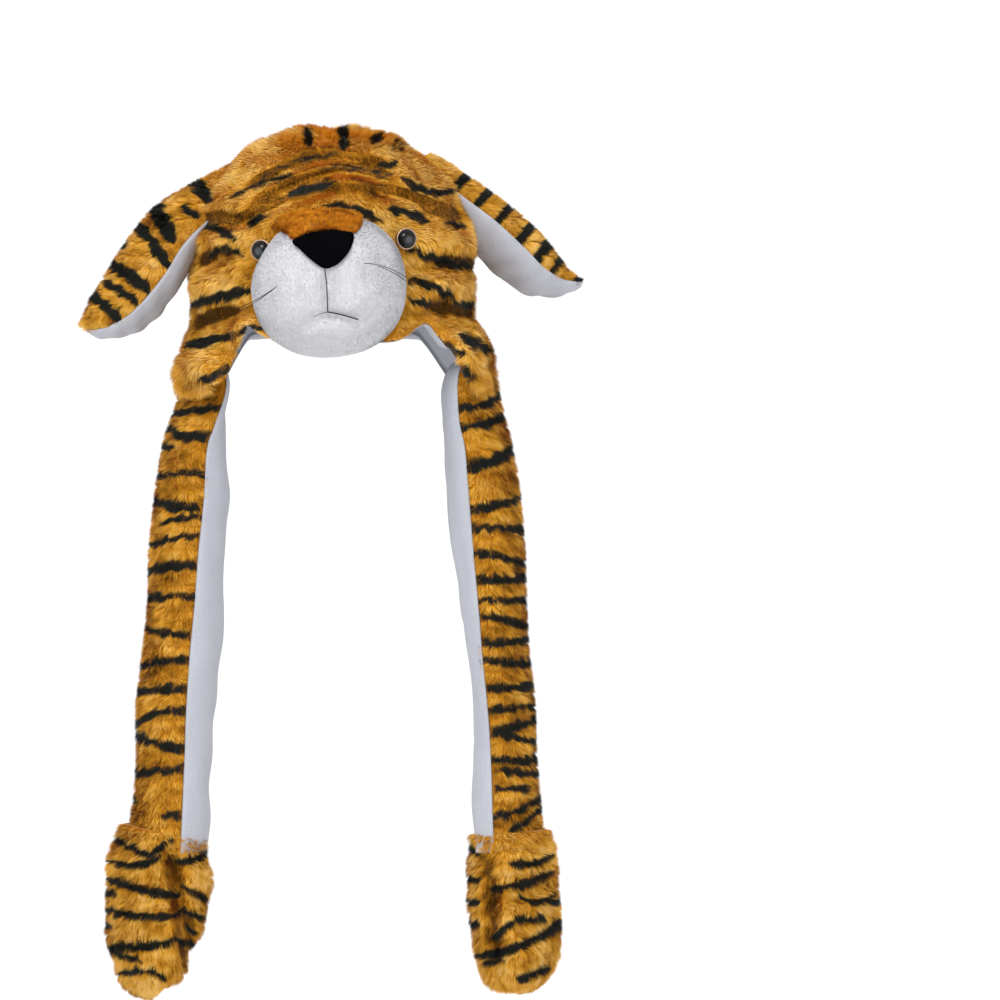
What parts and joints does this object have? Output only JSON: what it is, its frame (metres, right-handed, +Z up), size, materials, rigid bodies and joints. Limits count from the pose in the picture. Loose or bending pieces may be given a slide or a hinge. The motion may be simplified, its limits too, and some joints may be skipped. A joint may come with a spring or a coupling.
{
  "type": "plush animal hat",
  "caption": "Plush tiger hat with a stuffed muzzle, long floppy ears and two stuffed side flaps that hang to mitten paws.",
  "frame": {"origin": "inside top of the crown's lining, where the crown of the wearer's head sits", "axes": "+Z up along the hanging flaps, -Y ahead of the face, +X towards the side on the right of the picture"},
  "size_m": [0.3514, 0.2669, 0.6116],
  "materials": {
    "striped_fur": "long-pile orange fur with charcoal tiger stripes",
    "white_lining": "smooth matt fleece",
    "white_plush": "short-pile white plush",
    "rust_plush": "short-pile orange-brown plush",
    "black_velvet": "matt black velvet",
    "eye_plastic": "glossy dark brown"
  },
  "bodies": {
    "root": {"crown_fur": "striped_fur", "crown_lining": "white_lining", "muzzle": "white_plush", "muzzle_bridge": "rust_plush", "nose": "black_velvet", "eye_left": "eye_plastic", "eye_right": "eye_plastic", "ear_left_fur": "striped_fur", "ear_left_lining": "white_lining", "ear_right_fur": "striped_fur", "ear_right_lining": "white_lining", "flap_left_fur": "striped_fur", "flap_left_lining": "white_lining", "flap_right_fur": "striped_fur", "flap_right_lining": "white_lining", "paw_left": "striped_fur", "paw_right": "striped_fur"}
  },
  "joints": []
}
